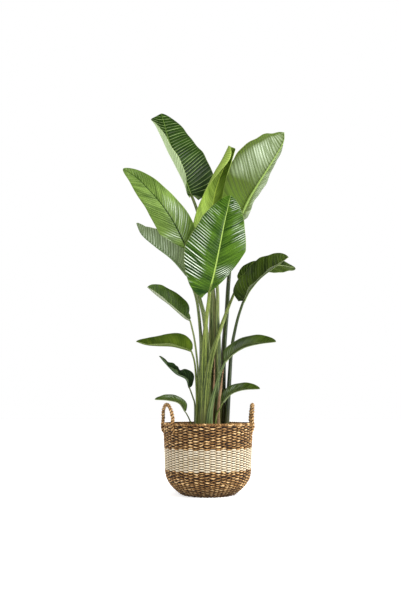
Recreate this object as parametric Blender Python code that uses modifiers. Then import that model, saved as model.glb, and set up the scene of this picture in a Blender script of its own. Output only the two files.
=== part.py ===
"""Potted bird of paradise (Strelitzia nicolai) standing in a round woven basket.

Metres, +Z up. The origin is the centre of the basket's base, on the floor. The basket's
front faces -Y. Every leaf is one petiole (stem_...) and one blade (leaf_...).
"""
import math

import bpy
from mathutils import Vector

GAP = 0.0003                 # clearance between pieces that touch

# Basket
BASKET_R = 0.197             # outer radius at the rim
BASKET_H = 0.304             # height of the rim's top
BASE_R = 0.116               # flat part of the base
FOOT_R = 0.187               # where the rounded foot meets the wall
FOOT_H = 0.097
FOOT_STEPS = 6
WALL = 0.008                 # thickness of cord woven over a stake
FLOOR_H = 0.010              # thickness of the base
FLOOR_CORNER = 0.004
BAND_BOTTOM_Z = 0.108        # pale band
BAND_TOP_Z = 0.197
RIM_H = 0.012
BASKET_STEPS = 40

# Handles: a rope arch across a chord of the rim
HANDLE_ROPE_R = 0.0075
HANDLE_RISE = 0.085
HANDLE_HALF_SPAN = 0.055
HANDLE_LEAN = 0.10           # outward lean of the arch, radians
HANDLE_STEPS = 18
HANDLE_ROUNDING = 0.75       # below 1, the arch is squarer than an ellipse
HANDLE_ANGLES = {"handle_left": math.radians(205), "handle_right": 0.0}

# Nursery pot and its soil
POT_TOP_R = 0.163
POT_BASE_R = 0.116
POT_TOP_Z = 0.272
POT_WALL = 0.002
POT_LIP = 0.004              # how far the rolled rim stands out
POT_LIP_H = 0.010
SOIL_TOP_Z = 0.252

# Plant
STEM_FOOT_Z = SOIL_TOP_Z + GAP
STEM_SAMPLES = 3             # tube points per control point
BLADE_THICKNESS = 0.002
BLADE_GAP = 0.006            # petiole's end to the blade's base
BLADE_ROWS = 10
BASE_EDGE = 0.006            # share of the margin's length where the basal edge ends
TIP_END = 0.985              # share of the midrib where the last row starts
VEIN_LEAD = 0.8              # below 1, the side veins slope towards the tip
VEIN_CURVE = 1.8             # how late a side vein turns towards the tip
HALF_COLUMNS = 3
TIP_ROUNDING = 0.6           # 1 is a pointed tip, 0.5 a round one
FOLD_LATE = 3                # a blade's fold changes mostly near its tip
NO_BEND = 1e-6
CURVE_SAMPLES = 400          # fine points along a smooth curve
RIB_SAMPLES = 60

GREEN = (0.075, 0.18, 0.03)
DARK_GREEN = (0.035, 0.10, 0.02)
LIME = (0.25, 0.42, 0.06)
PALE_GREEN = (0.20, 0.34, 0.12)
STEM_GREEN = (0.11, 0.20, 0.05)
SEAGRASS = (0.27, 0.15, 0.06)
CREAM = (0.80, 0.70, 0.52)
ROPE = (0.42, 0.26, 0.11)
POT_GREY = (0.02, 0.02, 0.02)
SOIL_BROWN = (0.035, 0.022, 0.014)
DRY_TAN = (0.38, 0.22, 0.11)

# One entry per leaf, in metres from the centre of the base.
# stem: centreline from the soil to the blade; its first point lies on the soil.
# rib: midrib from the blade's base to its tip.    radii: petiole at its foot and end.
# face: where the upper face looks.
# left, right: the two halves seen on the upper face, tip upwards. Each has its half width, how far
# its lobe reaches back, its fold towards the face at base and tip, its extra bend at base and tip
# (degrees), and its outline: where it is widest, how blunt its base is, how blunt its tip is.
LEAVES = {
    "top_left": dict(
        stem=[(0.018, 0.034), (0.024, 0.036, 0.67), (0.020, 0.055, 0.906), (-0.007, 0.078, 1.105),
              (-0.046, 0.090, 1.294), (-0.077, 0.090, 1.381)],
        rib=[(-0.077, 0.090, 1.381), (-0.097, 0.090, 1.440), (-0.131, 0.094, 1.518), (-0.166, 0.102, 1.604),
             (-0.195, 0.118, 1.695), (-0.216, 0.138, 1.778), (-0.231, 0.155, 1.839)],
        radii=(0.015, 0.0055), face=(0.80, -0.10, 0.50),
        left=(0.105, 0.015, (-50, -95), (150, 90), (0.50, 2.0, 3.2)),
        right=(0.152, 0.034, (70, 52), (5, -35), (0.22, 1.7, 3.2))),
    "left_upper": dict(
        stem=[(-0.002, 0.012), (0.002, 0.012, 0.491), (-0.002, 0.010, 0.648), (-0.019, 0.0, 0.788),
              (-0.040, -0.015, 0.865), (-0.067, -0.040, 0.985), (-0.094, -0.055, 1.078)],
        rib=[(-0.094, -0.055, 1.078), (-0.155, -0.090, 1.194), (-0.210, -0.120, 1.270),
             (-0.273, -0.145, 1.337), (-0.318, -0.161, 1.378), (-0.376, -0.180, 1.411)],
        radii=(0.0115, 0.0055), face=(-0.15, -0.93, 0.30),
        left=(0.082, 0.0, (10, 5), (-15, -15), (0.25, 1.15, 1.8)),
        right=(0.078, 0.012, (8, 8), (-12, -12), (0.25, 2.4, 1.6))),
    "left_lower": dict(
        stem=[(-0.037, 0.022), (-0.030, 0.024, 0.536), (-0.030, 0.030, 0.672), (-0.045, 0.042, 0.831),
              (-0.066, 0.055, 0.914), (-0.096, 0.065, 0.983)],
        rib=[(-0.096, 0.065, 0.983), (-0.168, 0.085, 1.067), (-0.251, 0.100, 1.134), (-0.315, 0.110, 1.192),
             (-0.343, 0.112, 1.249)],
        radii=(0.011, 0.005), face=(0.62, -0.25, 0.75),
        left=(0.100, 0.020, (62, 45), (18, 18), (0.40, 2.0, 1.7)),
        right=(0.100, 0.020, (50, 40), (10, 10), (0.40, 2.0, 2.2))),
    "center": dict(
        stem=[(-0.025, -0.030), (-0.021, -0.034, 0.467), (-0.016, -0.050, 0.648), (-0.007, -0.075, 0.752),
              (0.003, -0.100, 0.831), (0.006, -0.120, 0.867)],
        rib=[(0.006, -0.120, 0.867), (0.028, -0.145, 0.951), (0.050, -0.155, 1.057), (0.072, -0.135, 1.170),
             (0.105, -0.070, 1.325)],
        radii=(0.012, 0.006), face=(0.05, -0.97, 0.20),
        left=(0.150, 0.036, (10, 5), (-20, -20), (0.42, 2.0, 1.0)),
        right=(0.116, 0.0, (14, 12), (-25, -25), (0.42, 1.15, 1.3))),
    "new": dict(
        stem=[(0.044, 0.008), (0.047, 0.012, 0.648), (0.044, 0.026, 0.778), (0.045, 0.036, 0.905),
              (0.030, 0.042, 1.059)],
        rib=[(0.030, 0.042, 1.059), (0.021, 0.040, 1.155), (0.019, 0.036, 1.242), (0.029, 0.030, 1.338),
             (0.053, 0.024, 1.430), (0.084, 0.018, 1.508), (0.115, 0.012, 1.596)],
        radii=(0.014, 0.005), face=(0.15, -0.95, 0.10),
        left=(0.106, 0.010, (5, 30), (-20, 200), (0.30, 2.0, 9.0)),
        right=(0.060, 0.0, (20, 25), (20, 100), (0.60, 1.2, 9.0))),
    "top_right": dict(
        stem=[(0.066, 0.032), (0.068, 0.036, 0.491), (0.074, 0.044, 0.651), (0.089, 0.058, 0.815),
              (0.101, 0.076, 0.984), (0.127, 0.093, 1.160), (0.168, 0.105, 1.298)],
        rib=[(0.168, 0.105, 1.298), (0.200, 0.100, 1.367), (0.245, 0.100, 1.443), (0.296, 0.108, 1.526),
             (0.346, 0.122, 1.610), (0.381, 0.135, 1.681), (0.387, 0.147, 1.732)],
        radii=(0.012, 0.006), face=(-0.80, -0.05, 0.52),
        left=(0.118, 0.040, (-30, -12), (30, 30), (0.25, 2.2, 2.4)),
        right=(0.170, 0.042, (80, 76), (8, 8), (0.24, 2.2, 2.8))),
    "right_middle": dict(
        stem=[(0.079, 0.0), (0.097, 0.0, 0.512), (0.106, -0.005, 0.624), (0.120, -0.015, 0.704),
              (0.137, -0.030, 0.774), (0.159, -0.045, 0.838)],
        rib=[(0.159, -0.045, 0.838), (0.184, -0.060, 0.884), (0.227, -0.085, 0.933), (0.274, -0.110, 0.968),
             (0.316, -0.130, 0.995), (0.352, -0.145, 1.019)],
        radii=(0.0095, 0.005), face=(-0.55, -0.42, 0.72),
        left=(0.080, 0.012, (52, 50), (-15, -15), (0.35, 2.4, 3.4)),
        right=(0.060, 0.012, (20, 20), (5, 5), (0.40, 2.4, 2.1))),
    "right_back": dict(
        stem=[(-0.016, -0.057), (-0.007, -0.060, 0.453), (0.013, -0.058, 0.577), (0.033, -0.050, 0.648),
              (0.066, -0.025, 0.743), (0.097, 0.012, 0.826), (0.130, 0.045, 0.907), (0.157, 0.070, 0.964)],
        rib=[(0.157, 0.070, 0.964), (0.211, 0.090, 1.010), (0.281, 0.120, 1.038), (0.357, 0.150, 1.048),
             (0.432, 0.180, 1.042)],
        radii=(0.0085, 0.0045), face=(-0.15, -0.70, 0.70),
        left=(0.052, 0.010, (18, 10), (-15, -15), (0.35, 2.4, 2.8)),
        right=(0.062, 0.015, (5, 0), (-20, -20), (0.42, 2.2, 2.8))),
    "low_left_first": dict(
        stem=[(-0.053, 0.002), (-0.046, 0.000, 0.402), (-0.044, -0.010, 0.525), (-0.053, -0.020, 0.621),
              (-0.064, -0.035, 0.691), (-0.080, -0.050, 0.754)],
        rib=[(-0.080, -0.050, 0.754), (-0.105, -0.062, 0.766), (-0.170, -0.085, 0.819),
             (-0.223, -0.115, 0.854), (-0.263, -0.145, 0.885)],
        radii=(0.006, 0.0035), face=(0.20, -0.72, 0.66),
        left=(0.050, 0.004, (42, 44), (0, 0), (0.42, 1.8, 2.0)),
        right=(0.070, 0.004, (32, 27), (-15, -15), (0.45, 1.8, 2.1))),
    "low_left_second": dict(
        stem=[(-0.048, -0.020), (-0.049, -0.022, 0.40), (-0.053, -0.008, 0.50), (-0.060, 0.008, 0.572),
              (-0.075, 0.022, 0.622)],
        rib=[(-0.075, 0.022, 0.622), (-0.108, 0.030, 0.633), (-0.164, 0.050, 0.647), (-0.234, 0.070, 0.651),
             (-0.286, 0.085, 0.657), (-0.334, 0.100, 0.673)],
        radii=(0.006, 0.0035), face=(0.10, -0.62, 0.78),
        left=(0.017, 0.002, (65, 60), (0, 0), (0.42, 2.0, 1.4)),
        right=(0.080, 0.003, (28, 20), (-18, -18), (0.36, 2.0, 1.4))),
    "low_left_third": dict(
        stem=[(-0.058, 0.032), (-0.058, 0.033, 0.375), (-0.067, 0.036, 0.414), (-0.083, 0.040, 0.458)],
        rib=[(-0.083, 0.040, 0.458), (-0.098, 0.046, 0.498), (-0.145, 0.058, 0.523), (-0.190, 0.060, 0.566),
             (-0.222, 0.055, 0.602)],
        radii=(0.005, 0.003), face=(0.35, -0.60, 0.72),
        left=(0.026, 0.002, (35, 60), (20, 60), (0.36, 2.0, 1.0)),
        right=(0.036, 0.002, (35, 60), (10, 50), (0.30, 2.0, 0.9))),
    "low_left_fourth": dict(
        stem=[(-0.062, -0.034), (-0.072, -0.042, 0.294), (-0.086, -0.055, 0.329), (-0.099, -0.070, 0.352)],
        rib=[(-0.099, -0.070, 0.352), (-0.125, -0.090, 0.388), (-0.171, -0.120, 0.400),
             (-0.225, -0.150, 0.403)],
        radii=(0.0035, 0.0022), face=(0.10, -0.55, 0.83),
        left=(0.010, 0.002, (60, 50), (0, 0), (0.38, 2.0, 1.3)),
        right=(0.042, 0.003, (25, 15), (-20, -20), (0.34, 2.0, 1.3))),
    "low_right_first": dict(
        stem=[(0.002, -0.078), (0.007, -0.080, 0.34), (0.018, -0.078, 0.40), (0.037, -0.076, 0.467),
              (0.053, -0.076, 0.516), (0.074, -0.078, 0.565)],
        rib=[(0.074, -0.078, 0.565), (0.108, -0.100, 0.598), (0.158, -0.130, 0.625), (0.219, -0.165, 0.637),
             (0.283, -0.200, 0.641)],
        radii=(0.008, 0.0035), face=(-0.10, -0.60, 0.80),
        left=(0.066, 0.003, (28, 15), (-20, -20), (0.38, 2.0, 1.6)),
        right=(0.016, 0.002, (62, 55), (0, 0), (0.42, 2.0, 1.4))),
    "low_right_second": dict(
        stem=[(0.024, -0.064), (0.036, -0.067, 0.335), (0.047, -0.071, 0.358), (0.065, -0.080, 0.393)],
        rib=[(0.065, -0.080, 0.393), (0.098, -0.100, 0.427), (0.147, -0.130, 0.444), (0.216, -0.165, 0.447)],
        radii=(0.0045, 0.0028), face=(-0.10, -0.60, 0.80),
        left=(0.048, 0.003, (25, 15), (-20, -20), (0.38, 2.0, 1.4)),
        right=(0.012, 0.002, (60, 55), (0, 0), (0.42, 2.0, 1.4))),
}

LEAF_COLORS = {"top_left": DARK_GREEN, "left_upper": GREEN, "left_lower": PALE_GREEN, "center": GREEN,
               "new": LIME, "top_right": PALE_GREEN}

# Dry sheaths: narrow husks left beside the petioles, from foot to tip.
HUSK_FACE = (0.1, -1.0, 0.1)
HUSK_OUTLINE = (0.25, 2.0, 2.0)
HUSK_FOLD = -20
HUSK_BEND = -30
HUSK_THICKNESS = 0.0015
SHEATHS = {
    "dry_sheath_right": dict(
        rib=[(0.046, -0.040, STEM_FOOT_Z), (0.047, -0.036, 0.38), (0.058, -0.022, 0.455),
             (0.069, -0.010, 0.54)],
        half_width=0.006),
    "dry_sheath_middle": dict(
        rib=[(0.020, -0.012, STEM_FOOT_Z), (0.024, -0.014, 0.40), (0.028, -0.012, 0.50),
             (0.030, -0.010, 0.585)],
        half_width=0.005),
}


def clear_scene():
    """Removes every object of the startup scene."""
    for item in list(bpy.data.objects):
        bpy.data.objects.remove(item, do_unlink=True)


def make_material(name, color, roughness):
    """A Principled material of one colour."""
    material = bpy.data.materials.new(name)
    material.use_nodes = True
    shader = material.node_tree.nodes["Principled BSDF"]
    shader.inputs["Base Color"].default_value = (*color, 1.0)
    shader.inputs["Roughness"].default_value = roughness
    shader.inputs["Metallic"].default_value = 0.0
    return material


def add_object(name, data, color, roughness):
    """Puts a mesh or curve in the plant's collection with its own material."""
    item = bpy.data.objects.new(name, data)
    item.data.materials.append(make_material(name + "_material", color, roughness))
    PARTS.objects.link(item)
    return item


def curve_point(points, t):
    """A point on the smooth curve through the points, for t from 0 to 1."""
    scaled = min(max(t, 0.0), 1.0) * (len(points) - 1)
    index = min(int(scaled), len(points) - 2)
    f = scaled - index
    before = points[index - 1] if index > 0 else 2 * points[0] - points[1]
    after = points[index + 2] if index + 2 < len(points) else 2 * points[-1] - points[-2]
    a, b = points[index], points[index + 1]
    return 0.5 * (2 * a + (b - before) * f + (2 * before - 5 * a + 4 * b - after) * f * f
                  + (3 * a - before - 3 * b + after) * f ** 3)


def even_points(points, count):
    """count + 1 points at equal distances along the smooth curve."""
    fine = [curve_point(points, i / CURVE_SAMPLES) for i in range(CURVE_SAMPLES + 1)]
    reach = [0.0]
    for a, b in zip(fine, fine[1:]):
        reach.append(reach[-1] + (b - a).length)
    result = []
    index = 0
    for step in range(count + 1):
        target = reach[-1] * step / count
        while index < CURVE_SAMPLES - 1 and reach[index + 1] < target:
            index += 1
        part = (target - reach[index]) / (reach[index + 1] - reach[index])
        result.append(fine[index].lerp(fine[index + 1], part))
    return result, reach[-1]


def turned(name, profile, color, roughness, closed):
    """A turned piece: (radius, height) points down the outer side, round the Z axis."""
    mesh = bpy.data.meshes.new(name)
    edges = [(i, i + 1) for i in range(len(profile) - 1)]
    if closed:
        edges.append((len(profile) - 1, 0))
    mesh.from_pydata([(r, 0.0, z) for r, z in profile], edges, [])
    item = add_object(name, mesh, color, roughness)
    screw = item.modifiers.new("turn", "SCREW")
    screw.steps = BASKET_STEPS
    screw.render_steps = BASKET_STEPS
    screw.use_merge_vertices = True
    screw.merge_threshold = 0.00001
    return item


def tube(name, points, radii, color, roughness):
    """A round bar along the points, its radius running from radii[0] to radii[1]."""
    curve = bpy.data.curves.new(name, "CURVE")
    curve.dimensions = "3D"
    curve.bevel_depth = 1.0
    curve.bevel_resolution = 2
    curve.use_fill_caps = True
    spline = curve.splines.new("POLY")
    spline.points.add(len(points) - 1)
    for i, point in enumerate(points):
        spline.points[i].co = (*point, 1.0)
        spline.points[i].radius = radii[0] + (radii[1] - radii[0]) * i / (len(points) - 1)
    return add_object(name, curve, color, roughness)


def half_width(v, width, outline):
    """Half width at v from 0 (base) to 1 (tip)."""
    peak, base_power, tip_power = outline
    if v < peak:
        return width * (1 - (1 - v / peak) ** base_power) ** (1 / base_power)
    return width * (1 - ((v - peak) / (1 - peak)) ** tip_power) ** TIP_ROUNDING


def blade_rows(rib_points, face, left, right):
    """Rows of points across a blade, from its base to its tip.

    Each row follows a side vein: it leaves the midrib and reaches the margin further on.
    """
    rib, length = even_points([Vector(p) for p in rib_points], RIB_SAMPLES)
    hint = Vector(face).normalized()

    def frame_at(along):
        scaled = min(max(along / length, 0.0), 1.0) * RIB_SAMPLES
        index = min(int(scaled), RIB_SAMPLES - 1)
        tangent = (rib[min(index + 2, RIB_SAMPLES)] - rib[max(index - 1, 0)]).normalized()
        origin = rib[index].lerp(rib[index + 1], scaled - index)
        if along < 0:
            origin = rib[0] + tangent * along
        side = tangent.cross(hint).normalized()
        return origin, side, side.cross(tangent)

    def across(along, s, sign, width, folds, bends):
        origin, side, up = frame_at(along)
        share = min(max(along / length, 0.0), 1.0)
        fold = math.radians(folds[0] + (folds[1] - folds[0]) * share ** FOLD_LATE)
        bend = math.radians(bends[0] + (bends[1] - bends[0]) * share) / width
        if abs(bend) < NO_BEND:
            out, lift = s * math.cos(fold), s * math.sin(fold)
        else:
            out = (math.sin(fold + bend * s) - math.sin(fold)) / bend
            lift = (math.cos(fold) - math.cos(fold + bend * s)) / bend
        return origin + side * (sign * out) + up * lift

    rows = []
    for i in range(BLADE_ROWS + 1):
        u = i / BLADE_ROWS * TIP_END
        row = []
        for sign, (width, lobe, folds, bends, outline) in ((-1, left), (1, right)):
            v = BASE_EDGE + (1 - BASE_EDGE) * u ** VEIN_LEAD
            reach = half_width(v, width, outline)
            margin = -lobe + (length + lobe) * v
            half = []
            for j in range(1, HALF_COLUMNS + 1):
                part = j / HALF_COLUMNS
                along = u * length + (margin - u * length) * part ** VEIN_CURVE
                half.append(across(along, reach * part, sign, width, folds, bends))
            row = row + half if sign > 0 else half[::-1] + [frame_at(u * length)[0]]
        rows.append(row)
    return rows


def sheet(name, rows, thickness, color, roughness):
    """A thin closed piece over a grid of rows of points."""
    mesh = bpy.data.meshes.new(name)
    columns = len(rows[0])
    faces = [(i * columns + j, i * columns + j + 1, (i + 1) * columns + j + 1, (i + 1) * columns + j)
             for i in range(len(rows) - 1) for j in range(columns - 1)]
    mesh.from_pydata([tuple(p) for row in rows for p in row], [], faces)
    item = add_object(name, mesh, color, roughness)
    mesh.shade_smooth()
    solidify = item.modifiers.new("thickness", "SOLIDIFY")
    solidify.thickness = thickness
    solidify.offset = 0.0
    return item


def outer_radius(z):
    """Outer radius of the basket's wall: a rounded foot below a slightly flared wall."""
    if z < FOOT_H:
        return BASE_R + (FOOT_R - BASE_R) * (1 - (1 - z / FOOT_H) ** 2)
    return FOOT_R + (BASKET_R - FOOT_R) * (z - FOOT_H) / (BASKET_H - FOOT_H)


def make_basket():
    """Lower weave with the base, pale band, upper weave and rim, each on the one below."""
    top_z = BAND_BOTTOM_Z - GAP
    heights = [top_z * (i / FOOT_STEPS) ** 1.8 for i in range(FOOT_STEPS + 1)]   # closer near the floor
    outer = [(outer_radius(z), z) for z in reversed(heights)]
    inner = [(0.0, FLOOR_H), (outer_radius(FLOOR_H) - WALL - FLOOR_CORNER, FLOOR_H)]
    inner += [(outer_radius(z) - WALL, z) for z in heights if z > FLOOR_H * 2]
    turned("basket_lower_weave", inner + outer + [(0.0, 0.0)], SEAGRASS, 0.8, closed=False)
    sections = (("basket_cream_band", BAND_BOTTOM_Z, BAND_TOP_Z - GAP, CREAM),
                ("basket_upper_weave", BAND_TOP_Z, BASKET_H - RIM_H - GAP, SEAGRASS),
                ("basket_rim", BASKET_H - RIM_H, BASKET_H, SEAGRASS))
    for name, low, high, color in sections:
        middle = (low + high) / 2
        loop = [(outer_radius(low) - WALL, low), (outer_radius(middle) - WALL, middle),
                (outer_radius(high) - WALL, high), (outer_radius(high), high),
                (outer_radius(middle), middle), (outer_radius(low), low)]
        turned(name, loop, color, 0.8, closed=True)


def make_handles():
    """Two rope arches that stand on the rim and lean slightly outwards."""
    foot_z = BASKET_H + HANDLE_ROPE_R * HANDLE_LEAN + 2 * GAP
    foot_r = math.sqrt((BASKET_R - WALL / 2) ** 2 - HANDLE_HALF_SPAN ** 2)
    rise = HANDLE_RISE - HANDLE_ROPE_R
    for name, angle in HANDLE_ANGLES.items():
        outward = Vector((math.cos(angle), math.sin(angle), 0.0))
        along = Vector((-math.sin(angle), math.cos(angle), 0.0))
        points = []
        for i in range(HANDLE_STEPS + 1):
            turn = math.pi * i / HANDLE_STEPS
            width = HANDLE_HALF_SPAN * math.cos(turn)
            height = rise * math.sin(turn) ** HANDLE_ROUNDING
            points.append(outward * (foot_r + height * math.sin(HANDLE_LEAN)) + along * width
                          + Vector((0, 0, foot_z + height)))
        tube(name, points, (HANDLE_ROPE_R, HANDLE_ROPE_R), ROPE, 0.8)


def make_pot_and_soil():
    """A thin plastic pot with a rolled rim, filled with soil."""
    base_z = FLOOR_H + GAP
    flare = (POT_TOP_R - POT_BASE_R) / (POT_TOP_Z - base_z)

    def wall_r(z):
        return POT_BASE_R + flare * (z - base_z)

    floor_z = base_z + POT_WALL
    lip_r = wall_r(POT_TOP_Z) + POT_LIP
    lip_z = POT_TOP_Z - POT_LIP_H
    turned("nursery_pot", [(0.0, floor_z), (wall_r(floor_z) - POT_WALL, floor_z),
                           (wall_r(POT_TOP_Z) - POT_WALL, POT_TOP_Z), (lip_r, POT_TOP_Z), (lip_r, lip_z),
                           (wall_r(lip_z), lip_z), (wall_r(base_z), base_z), (0.0, base_z)],
           POT_GREY, 0.5, closed=False)
    soil_low = floor_z + GAP
    inset = POT_WALL + 2 * GAP
    turned("potting_soil", [(0.0, SOIL_TOP_Z), (wall_r(SOIL_TOP_Z) - inset, SOIL_TOP_Z),
                            (wall_r(soil_low) - inset, soil_low), (0.0, soil_low)],
           SOIL_BROWN, 0.95, closed=False)


def make_leaf(name, leaf):
    """One petiole standing on the soil and the blade at its end."""
    foot, *rest = leaf["stem"]
    control = [Vector((*foot, STEM_FOOT_Z))] + [Vector(p) for p in rest]
    points, _ = even_points(control, STEM_SAMPLES * (len(control) - 1))
    points[1].xy = points[0].xy          # the foot is square to the soil
    points[-1] = points[-1] - (points[-1] - points[-2]).normalized() * BLADE_GAP
    tube("stem_" + name, points, leaf["radii"], STEM_GREEN, 0.45)
    rows = blade_rows(leaf["rib"], leaf["face"], leaf["left"], leaf["right"])
    sheet("leaf_" + name, rows, BLADE_THICKNESS, LEAF_COLORS.get(name, DARK_GREEN), 0.4)


def make_sheath(name, sheath):
    """A narrow dry husk, rounded across, from the soil to a pointed tip."""
    half = (sheath["half_width"], 0.0, (HUSK_FOLD, HUSK_FOLD), (HUSK_BEND, HUSK_BEND), HUSK_OUTLINE)
    rows = blade_rows(sheath["rib"], HUSK_FACE, half, half)
    sheet(name, rows, HUSK_THICKNESS, DRY_TAN, 0.8)


clear_scene()
PARTS = bpy.data.collections.new("potted_bird_of_paradise")
bpy.context.scene.collection.children.link(PARTS)
make_basket()
make_handles()
make_pot_and_soil()
for leaf_name, leaf_shape in LEAVES.items():
    make_leaf(leaf_name, leaf_shape)
for sheath_name, sheath_shape in SHEATHS.items():
    make_sheath(sheath_name, sheath_shape)
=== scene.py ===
"""Looks of the potted bird of paradise: leaves, stems, woven basket, pot, soil, light and camera.

Metres, +Z up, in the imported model's frame: the origin is the centre of the basket's base and
the basket's front faces -Y. Every piece rides on the one body, and stands for its CAD node.
"""

import math

import bpy
import numpy as np
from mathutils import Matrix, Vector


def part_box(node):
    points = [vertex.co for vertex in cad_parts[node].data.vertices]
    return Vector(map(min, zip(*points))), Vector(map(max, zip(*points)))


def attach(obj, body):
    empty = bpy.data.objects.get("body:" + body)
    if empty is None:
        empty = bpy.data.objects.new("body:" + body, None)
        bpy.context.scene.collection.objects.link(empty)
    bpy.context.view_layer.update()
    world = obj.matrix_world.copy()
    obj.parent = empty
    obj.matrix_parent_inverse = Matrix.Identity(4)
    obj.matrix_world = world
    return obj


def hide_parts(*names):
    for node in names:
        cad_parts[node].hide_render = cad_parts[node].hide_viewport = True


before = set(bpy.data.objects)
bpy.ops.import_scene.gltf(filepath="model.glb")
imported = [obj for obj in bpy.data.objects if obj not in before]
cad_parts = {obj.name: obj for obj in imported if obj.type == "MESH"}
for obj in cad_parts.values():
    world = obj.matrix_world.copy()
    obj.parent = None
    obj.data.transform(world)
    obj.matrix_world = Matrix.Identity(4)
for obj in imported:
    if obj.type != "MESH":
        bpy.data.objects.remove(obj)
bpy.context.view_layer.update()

# Design values, as in the CAD.
BASKET_R = 0.197             # outer radius at the rim
BASKET_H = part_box("basket_rim")[1].z
RIM_LOW_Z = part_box("basket_rim")[0].z
BAND_LOW_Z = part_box("basket_cream_band")[0].z
BAND_HIGH_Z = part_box("basket_cream_band")[1].z
BASE_R = 0.116
FOOT_R = 0.187               # where the rounded foot meets the wall
FOOT_H = 0.097
WALL = 0.008
HANDLE_RISE = 0.0775         # rope centreline above its foot
HANDLE_HALF_SPAN = 0.055
HANDLE_LEAN = 0.10
HANDLE_ANGLES = {"handle_left": math.radians(205), "handle_right": 0.0}
POT_TOP_R = 0.163
POT_BASE_R = 0.116
POT_TOP_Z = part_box("nursery_pot")[1].z
POT_BASE_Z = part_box("nursery_pot")[0].z
POT_WALL = 0.002
SOIL_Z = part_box("potting_soil")[1].z
POT_LIP = 0.004              # how far the rolled rim stands out
POT_LIP_H = 0.010
POT_SOFT = 0.0006            # the rolled rim's bevel
SOIL_SINK = 0.003            # the loose surface lies this much below the packed soil's top
SOIL_HEAP = 0.005            # rise of the soil round the stems
SOIL_HEAP_R = 0.07
CLUSTER = np.array([0.01, 0.0])      # middle of the stems on the soil
TURN = 2 * math.pi
UP = np.array([0.0, 0.0, 1.0])

# Weave, rim and rope.
STAKES = 51                  # odd, so that one long cord passes over and under in turn
STAKE_HALF = 0.0012          # half of a stake's thickness
STAKE_COVER = 0.96           # share of the wall that the flat stakes fill, so no light passes
CORD_SAMPLES = 8             # points along a cord from stake to stake
CORD_SIDES = 8
CREAM_PITCH = 0.0050         # height of one row
GRASS_PITCH = 0.0056
GRASS_CORD = (0.0025, 0.0030)        # a cord's half thickness and half height
CREAM_CORD = (0.0023, 0.0032)
GRASS_UNEVEN = 0.22          # how much a cord strays, as a share of a row
CREAM_UNEVEN = 0.05
WEAVE_SWING = 0.0027         # how far a cord swings out and in as it passes the stakes
BRAID_SWING = 0.0034
BRAID_CORD = (0.0032, 0.0030)
COIL_PITCH = 0.0062          # flat coil of the base
COIL_CORD = 0.0034
ROPE_STRANDS = 2
ROPE_SIDES = 10
ROPE_LAY_R = 0.0041          # from the rope's centre to a strand's
ROPE_STRAND_R = 0.0043
ROPE_PITCH = 0.026           # length of one full twist

# Leaves.
ROWS_PER_VEIN = 7
LARGE_BLADE = 0.07           # half width above which a blade gets the finer grid
HALF_COLUMNS = {False: 16, True: 26}
BIG_STEM = 0.007             # radius above which a petiole has a broad clasping foot
STEM_SIDES = 28
STEM_STEP = 0.007
BLADE_THICKNESS = 0.0009
BASE_EDGE = 0.006            # share of the margin's length where the basal edge ends
TIP_END = 0.992              # share of the midrib where the last row starts
MIDRIB_CROWD = 1.15          # above 1, side veins start closer together near the base
MARGIN_LEAD = 0.70           # below 1, side veins reach the margin nearer the tip
MARGIN_LEADS = {"top_right": 0.46, "left_upper": 0.60, "new": 0.60}
VEIN_CURVE = 1.2             # how late a side vein turns towards the tip
BASE_CURVE = 1.8             # the same at the blade's basal edge
FOLD_LATE = 3                # a blade's fold changes mostly near its tip
TIP_ROUNDING = 0.6           # 1 is a pointed tip, 0.5 a round one

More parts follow.
